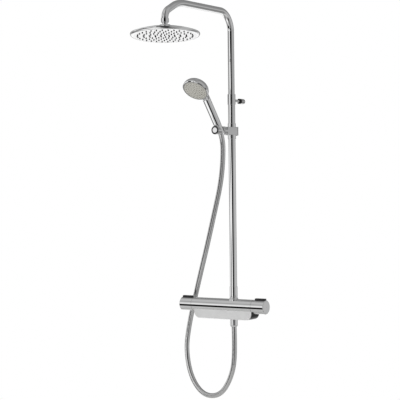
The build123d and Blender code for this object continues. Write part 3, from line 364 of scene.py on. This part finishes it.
# %% Two finishes in one material
def two_finishes(name, colours, black, rough, bump, mask_of, metal=1.0, black_rough=0.0, haze_scale=60.0,
                 haze_detail=3.0):
    """Metal and black in one material. mask_of gives one where the black is."""
    made, tree, shader = finish_of(name, colours[1], metal, rough[0])
    place = put(tree, "ShaderNodeTexCoord").outputs["Object"]
    mask = mask_of(tree, place, put(tree, "ShaderNodeSeparateXYZ", {0: place}).outputs)
    haze = noise(tree, haze_scale, haze_detail)
    plate = put(tree, "ShaderNodeMix", {0: haze, 6: (*colours[0], 1.0), 7: (*colours[1], 1.0)},
                data_type="RGBA").outputs[2]
    both = put(tree, "ShaderNodeMix", {0: mask, 6: plate, 7: (*black, 1.0)}, data_type="RGBA")
    tree.links.new(both.outputs[2], shader.inputs["Base Color"])
    bare = calc(tree, "SUBTRACT", 1.0, mask)
    tree.links.new(calc(tree, "MULTIPLY", bare, metal), shader.inputs["Metallic"])
    dull = calc(tree, "ADD", rescale(tree, haze, 0.3, 0.7, *rough), calc(tree, "MULTIPLY", mask, black_rough))
    tree.links.new(dull, shader.inputs["Roughness"])
    grain, detail, strength, distance = bump
    bumpy(tree, shader, noise(tree, grain, detail), strength, distance)
    print(name, "ready")
    return made

# %% Housing with black cheeks
def cheeks(tree, place, at):
    """Behind the front face, and past the place where each rounded corner starts."""
    low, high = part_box("lower_housing")
    corner, skin, edge = 0.0192, 0.0006, 0.0008
    past_right = rescale(tree, at[0], high.x - corner, high.x - corner + edge)
    past_left = rescale(tree, at[0], low.x + corner, low.x + corner - edge)
    behind = rescale(tree, at[1], low.y + skin, low.y + 2 * skin)
    return calc(tree, "MULTIPLY", calc(tree, "MAXIMUM", past_right, past_left), behind, clamp=True)


cover = two_finishes("satin_cover", ((0.86, 0.86, 0.86), (0.92, 0.92, 0.92)), (0.012, 0.012, 0.012),
                     (0.28, 0.36), (700.0, 2.0, 0.08, 0.00004), cheeks, metal=0.35, haze_scale=40.0,
                     haze_detail=4.0)

# %% Post with a black cap
CAP_L, CAP_EDGE = 0.0060, 0.0002


def front_cap(tree, place, at):
    cap_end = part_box("wall_standoff")[0].y + CAP_L
    return rescale(tree, at[1], cap_end + CAP_EDGE, cap_end - CAP_EDGE)


post = two_finishes("capped_post", ((0.66, 0.66, 0.66), (0.74, 0.74, 0.74)), (0.015, 0.015, 0.015),
                    (0.14, 0.24), (900.0, 2.0, 0.08, 0.00004), front_cap, black_rough=0.3)

# %% Cradle with an inlaid ring
def front_ring(tree, place, at):
    """A ring about the barrel's own axis, let a little way into its front face."""
    low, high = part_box("cradle")
    centre = (low + high) / 2
    flat = put(tree, "ShaderNodeVectorMath", {0: place, 1: (1.0, 0.0, 1.0)}, operation="MULTIPLY").outputs[0]
    radius = put(tree, "ShaderNodeVectorMath", {0: flat, 1: (centre.x, 0.0, centre.z)},
                 operation="DISTANCE").outputs["Value"]
    ring = calc(tree, "MULTIPLY", rescale(tree, radius, 0.0078, 0.0081),
                rescale(tree, radius, 0.0128, 0.0125))
    return calc(tree, "MULTIPLY", ring, rescale(tree, at[1], low.y + 0.0016, low.y + 0.0013), clamp=True)


barrel = two_finishes("inlaid_barrel", ((0.86, 0.86, 0.87), (0.93, 0.93, 0.93)), (0.012, 0.012, 0.012),
                      (0.015, 0.05), (16.0, 2.0, 0.03, 0.0004), front_ring, black_rough=0.35)

# %% [markdown]
# ## Finishes onto the CAD pieces
# The record names a finish for every piece. A dictionary turns those names into the materials made
# above, and each piece's slots get the right one. The shapes themselves are left as they are.

# %% Dress the CAD pieces
FINISHES = {
    "chrome": chrome, "hose_steel": chrome, "brass": brass, "screw_steel": screw_steel,
    "dark_plastic": dark_plastic, "black_rubber": black_rubber, "rain_face": rain_face,
    "nozzle_rubber": nozzle_rubber, "spray_face": spray_face, "spray_rubber": spray_rubber,
}


def dress(piece, material):
    if not piece.material_slots:
        piece.data.materials.append(material)
    for place in piece.material_slots:
        place.material = material


for row in frame["record"]["subparts"]:
    dress(frame["nodes"][row["node"]], FINISHES[row["material_slot"]])
dress(frame["nodes"]["lower_housing"], cover)
dress(frame["nodes"]["wall_standoff"], post)
dress(frame["nodes"]["cradle"], barrel)
print("dressed", len(frame["nodes"]), "pieces")

# %% [markdown]
# ## The hose
# A shower hose is a rubber tube inside a winding of steel strip. It is stiff enough to hang in one
# wide loop: out of the nut under the mixer, down, round, and up behind the left handle to
# the handset. Its line is a smooth spline. Geometry Nodes then sweep a circle along that line
# and press the strip's spiral groove into it, which a plain bevelled curve can't do.

# %% Hose line
HOSE_R, HOSE_LENGTH = 0.0078, 1.228
HANDSET_LEAN = math.radians(38.5)
ALONG = Vector((0.0, -math.sin(HANDSET_LEAN), math.cos(HANDSET_LEAN)))
AHEAD = Vector((0.0, -math.cos(HANDSET_LEAN), -math.sin(HANDSET_LEAN)))
CRADLE = Vector((0.037, -0.1082, 0.539))
HOSE_EXIT = (0.037, -0.041, -0.0545)
HOSE_POINTS = [
    HOSE_EXIT, (0.040, -0.041, -0.140), (0.027, -0.038, -0.216), (-0.020, -0.032, -0.284),
    (-0.092, -0.022, -0.291), (-0.146, -0.013, -0.238), (-0.170, -0.004, -0.150), (-0.158, -0.001, -0.070),
    (-0.133, -0.007, 0.008), (-0.098, -0.024, 0.092), (-0.060, -0.041, 0.182), (-0.022, -0.057, 0.282),
    (0.015, -0.072, 0.380), (0.034, -0.087, 0.462), CRADLE - ALONG * 0.022, CRADLE + ALONG * 0.0185,
]


def line_points(name, points):
    """The points of a smooth open spline through the space, read from its curve with no bevel."""
    curve = bpy.data.curves.new(name, "CURVE")
    curve.dimensions, curve.resolution_u = "3D", 24
    spline = curve.splines.new("NURBS")
    spline.points.add(len(points) - 1)
    for control, place in zip(spline.points, points):
        control.co = (*place, 1.0)
    spline.order_u = 3
    spline.use_endpoint_u = True
    holder = bpy.data.objects.new(name, curve)
    scene.collection.objects.link(holder)
    line = bpy.data.meshes.new_from_object(holder)
    found = [vertex.co.copy() for vertex in line.vertices]
    bpy.data.objects.remove(holder)
    return found, line


hose_path, hose_line = line_points("hose_line", HOSE_POINTS)
line_length = sum((b - a).length for a, b in zip(hose_path, hose_path[1:]))
print("hose line", round(line_length, 3), "m in", len(hose_path), "points")

# %% [markdown]
# ## Geometry Nodes from a script
# A node group for a modifier needs its own inputs, made on its interface. The modifier then stores a
# value for each input under the socket's identifier. When the shape is right, the evaluated
# result is copied to a plain mesh and the modifier goes.

# %% Geometry Nodes helpers
def new_group(name, **sizes):
    """A geometry node group with named number inputs. Returns it with its input sockets by name."""
    group = bpy.data.node_groups.new(name, "GeometryNodeTree")
    group.interface.new_socket("Geometry", in_out="OUTPUT", socket_type="NodeSocketGeometry")
    group.interface.new_socket("Geometry", in_out="INPUT", socket_type="NodeSocketGeometry")
    for label, value in sizes.items():
        kind = {float: "NodeSocketFloat", int: "NodeSocketInt"}.get(type(value), "NodeSocketObject")
        socket = group.interface.new_socket(label.replace("_", " "), in_out="INPUT", socket_type=kind)
        if kind != "NodeSocketObject":
            socket.default_value = value
    group_in = group.nodes.new("NodeGroupInput")
    return group, {socket.name: socket for socket in group_in.outputs if socket.name}


def close_group(group, geometry, material):
    geometry = put(group, "GeometryNodeRealizeInstances", {0: geometry}).outputs[0]
    geometry = put(group, "GeometryNodeSetMaterial", {0: geometry, "Material": material}).outputs[0]
    put(group, "NodeGroupOutput", {0: geometry})


def grow(name, mesh, group, **sizes):
    """Runs a node group on a mesh and returns the result as a plain piece."""
    piece = bpy.data.objects.new(name, mesh)
    scene.collection.objects.link(piece)
    nodes = piece.modifiers.new("grow", "NODES")
    nodes.node_group = group
    for socket in group.interface.items_tree:
        label = socket.name.replace(" ", "_")
        if socket.in_out == "INPUT" and label in sizes:
            nodes[socket.identifier] = sizes[label]
    evaluated = piece.evaluated_get(bpy.context.evaluated_depsgraph_get())
    plain = bpy.data.meshes.new_from_object(evaluated)
    piece.modifiers.clear()
    piece.data = plain
    plain.name = name
    print(name, len(plain.vertices), "vertices")
    return piece

# %% Winding group
hose_group, size = new_group("steel_winding", Radius=HOSE_R, Pitch=0.0040, Groove_Depth=0.00014,
                             Steps_per_Turn=10, Sides=24)
step = calc(hose_group, "DIVIDE", size["Pitch"], size["Steps per Turn"])
wire = put(hose_group, "GeometryNodeMeshToCurve", {0: size["Geometry"]}).outputs[0]
wire = put(hose_group, "GeometryNodeResampleCurve", {"Curve": wire, "Length": step}, mode="LENGTH").outputs[0]
reach = put(hose_group, "GeometryNodeSplineParameter")
wire = put(hose_group, "GeometryNodeStoreNamedAttribute",
           {"Geometry": wire, "Name": "along", "Value": reach.outputs["Length"]}).outputs[0]
circle = put(hose_group, "GeometryNodeCurvePrimitiveCircle",
             {"Resolution": size["Sides"], "Radius": size["Radius"]}).outputs[0]
circle = put(hose_group, "GeometryNodeStoreNamedAttribute",
             {"Geometry": circle, "Name": "around", "Value": reach.outputs["Factor"]}).outputs[0]
tube = put(hose_group, "GeometryNodeCurveToMesh", {"Curve": wire, "Profile Curve": circle,
                                                   "Fill Caps": True}).outputs[0]
along = put(hose_group, "GeometryNodeInputNamedAttribute", {"Name": "along"}).outputs[0]
around = put(hose_group, "GeometryNodeInputNamedAttribute", {"Name": "around"}).outputs[0]
turns = calc(hose_group, "ADD", calc(hose_group, "DIVIDE", along, size["Pitch"]), around)
ridge = calc(hose_group, "ABSOLUTE", calc(hose_group, "COSINE", calc(hose_group, "MULTIPLY", turns, math.pi)))
groove = calc(hose_group, "POWER", ridge, 16.0)
depth = calc(hose_group, "MULTIPLY", groove, calc(hose_group, "MULTIPLY", size["Groove Depth"], -1.0))
tube = put(hose_group, "GeometryNodeStoreNamedAttribute",
           {"Geometry": tube, "Name": "groove", "Value": groove}).outputs[0]
outward = put(hose_group, "GeometryNodeInputNormal").outputs[0]
inset = put(hose_group, "ShaderNodeVectorMath", {0: outward, "Scale": depth}, operation="SCALE").outputs[0]
tube = put(hose_group, "GeometryNodeSetPosition", {"Geometry": tube, "Offset": inset}).outputs[0]
tube = put(hose_group, "GeometryNodeSetShadeSmooth", {0: tube}).outputs[0]


def strip_steel():
    """Polished steel strip, with shade painted darker into the groove of its winding."""
    made, tree, shader = finish_of("strip_steel", (0.8, 0.8, 0.8), 1.0, 0.08)
    groove_shade = put(tree, "ShaderNodeAttribute", attribute_name="groove").outputs["Fac"]
    # painted shade: the base colour falls from 0.86 on the strip to 0.40 down in the groove
    tint(tree, shader, calc(tree, "POWER", groove_shade, 2.0), (0.86, 0.86, 0.86), (0.40, 0.40, 0.40))
    haze = noise(tree, 60.0, 4.0)
    tree.links.new(rescale(tree, haze, 0.3, 0.7, 0.02, 0.05), shader.inputs["Roughness"])
    bumpy(tree, shader, noise(tree, 1500.0, 2.0), 0.02, 0.00002)
    return made


strip = strip_steel()
close_group(hose_group, tube, strip)
hose = grow("shower_hose", hose_line, hose_group)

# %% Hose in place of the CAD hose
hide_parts("hose")
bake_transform(hose)

# %% [markdown]
# ## Soft nozzles
# The rain head sprays through ninety soft silicone nozzles, set in rings so that a thumb can rub the
# lime off them. Each is a small lathe-turned teat with a dimple at its mouth. One teat is made
# once, and Geometry Nodes place a copy on every point of each ring, on a thin mat that lies behind
# the plate. The handset has the same thing at a smaller size, so one node group serves both.

# %% A teat turned from its profile
def turned_teat(name, profile, sides=12):
    """A solid of revolution about Z, from (radius, height) pairs that start and end on the axis."""
    shape = bmesh.new()
    rings = []
    for radius, height in profile:
        if radius == 0.0:
            rings.append([shape.verts.new((0.0, 0.0, height))])
        else:
            turns = [2 * math.pi * k / sides for k in range(sides)]
            rings.append([shape.verts.new((radius * math.cos(a), radius * math.sin(a), height))
                          for a in turns])
    for one, two in zip(rings, rings[1:]):
        for k in range(sides):
            j = (k + 1) % sides
            corners = [one[k % len(one)], one[j % len(one)], two[j % len(two)], two[k % len(two)]]
            shape.faces.new(list(dict.fromkeys(corners)))
    bmesh.ops.recalc_face_normals(shape, faces=shape.faces)
    mesh = bpy.data.meshes.new(name)
    shape.to_mesh(mesh)
    shape.free()
    made = bpy.data.objects.new(name, mesh)
    scene.collection.objects.link(made)
    return made


def teat_profile(radius, mouth, behind, plate, collar):
    """From the dimple in the mouth, round the lip, over the collar on the plate, and through it."""
    skin, dimple = 0.0003, 0.0005
    return [(0.0, mouth + dimple), (0.35 * radius, mouth + dimple), (0.45 * radius, mouth),
            (0.70 * radius, mouth),
            (0.88 * radius, mouth + skin), (radius, mouth + 3 * skin), (radius, plate - skin),
            (collar, plate - skin), (collar, plate), (radius, plate), (radius, behind), (0.0, behind)]

# %% Nozzle rings group
def nozzle_group(name, rings, material, **sizes):
    """Rings of teats on a mat. Every ring has its own radius and count among the group's inputs."""
    for index, (radius, count, start) in enumerate(rings, 1):
        sizes[f"Ring_{index}_Radius"], sizes[f"Ring_{index}_Count"] = radius, count
        sizes[f"Ring_{index}_Start"] = math.radians(start)
    group, size = new_group(name, Teat=None, **sizes)
    teat = put(group, "GeometryNodeObjectInfo", {"Object": size["Teat"]}).outputs["Geometry"]
    join = group.nodes.new("GeometryNodeJoinGeometry")
    for index in range(1, len(rings) + 1):
        ring = put(group, "GeometryNodeMeshCircle", {"Vertices": size[f"Ring {index} Count"],
                                                     "Radius": size[f"Ring {index} Radius"]}).outputs[0]
        turn = put(group, "ShaderNodeCombineXYZ", {2: size[f"Ring {index} Start"]}).outputs[0]
        ring = put(group, "GeometryNodeTransform", {"Geometry": ring, "Rotation": turn}).outputs[0]
        teats = put(group, "GeometryNodeInstanceOnPoints", {"Points": ring, "Instance": teat}).outputs[0]
        group.links.new(teats, join.inputs[0])
    mat = put(group, "GeometryNodeMeshCylinder", {"Vertices": 96, "Radius": size["Mat Radius"],
                                                  "Depth": size["Mat Thickness"]}).outputs[0]
    lift = put(group, "ShaderNodeCombineXYZ", {2: size["Mat Height"]}).outputs[0]
    mat = put(group, "GeometryNodeTransform", {"Geometry": mat, "Translation": lift}).outputs[0]
    group.links.new(mat, join.inputs[0])
    close_group(group, join.outputs[0], material)
    return group

# %% Rain head nozzles
# radius, count and start angle: every other ring is turned by half its pitch, so that the holes
# don't line up
RAIN_RINGS = ((0.079, 30, 0.0), (0.0615, 24, 7.5), (0.0445, 18, 0.0), (0.0285, 12, 15.0), (0.0135, 6, 0.0))
BALL, HEAD_TILT = Vector((0.037, -0.389, 0.816)), math.radians(-4.3)
head_frame = Matrix.Translation(BALL) @ Matrix.Rotation(
    HEAD_TILT, 4, Vector((math.cos(HEADING), math.sin(HEADING), 0.0)))

rain_group = nozzle_group("rain_nozzles", RAIN_RINGS, nozzle_rubber,
                          Mat_Radius=0.0875, Mat_Thickness=0.0013, Mat_Height=-0.01635)
rain_teat = turned_teat("rain_teat", teat_profile(0.0017, -0.0222, -0.0172, -0.0198, 0.0024))
rain_nozzles = grow("rain_nozzles", bpy.data.meshes.new("rain_nozzles"), rain_group, Teat=rain_teat)
bpy.data.objects.remove(rain_teat)
rain_nozzles.data.transform(head_frame)
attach(rain_nozzles, "rain_head")
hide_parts("nozzle_mat")

# %% Handset nozzles
SPRAY_RINGS = ((0.0295, 20, 0.0), (0.0215, 14, 0.0), (0.0135, 9, 0.0), (0.006, 4, 0.0))
FACE_DROOP = math.radians(12.0)
face_centre = CRADLE + ALONG * 0.1696 + AHEAD * 0.033
face_back = -(AHEAD * math.cos(FACE_DROOP) - ALONG * math.sin(FACE_DROOP))
face_x = Vector((1.0, 0.0, 0.0))
spray_frame = Matrix.Translation(face_centre) @ Matrix(
    (face_x, face_back.cross(face_x), face_back)).transposed().to_4x4()

spray_group = nozzle_group("spray_nozzles", SPRAY_RINGS, spray_rubber,
                           Mat_Radius=0.0354, Mat_Thickness=0.0012, Mat_Height=0.0034)
spray_teat = turned_teat("spray_teat", teat_profile(0.0012, -0.0012, 0.0029, 0.0002, 0.0016))
spray_nozzles = grow("spray_nozzles", bpy.data.meshes.new("spray_nozzles"), spray_group, Teat=spray_teat)
bpy.data.objects.remove(spray_teat)
spray_nozzles.data.transform(spray_frame)
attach(spray_nozzles, "handset")
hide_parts("spray_mat")
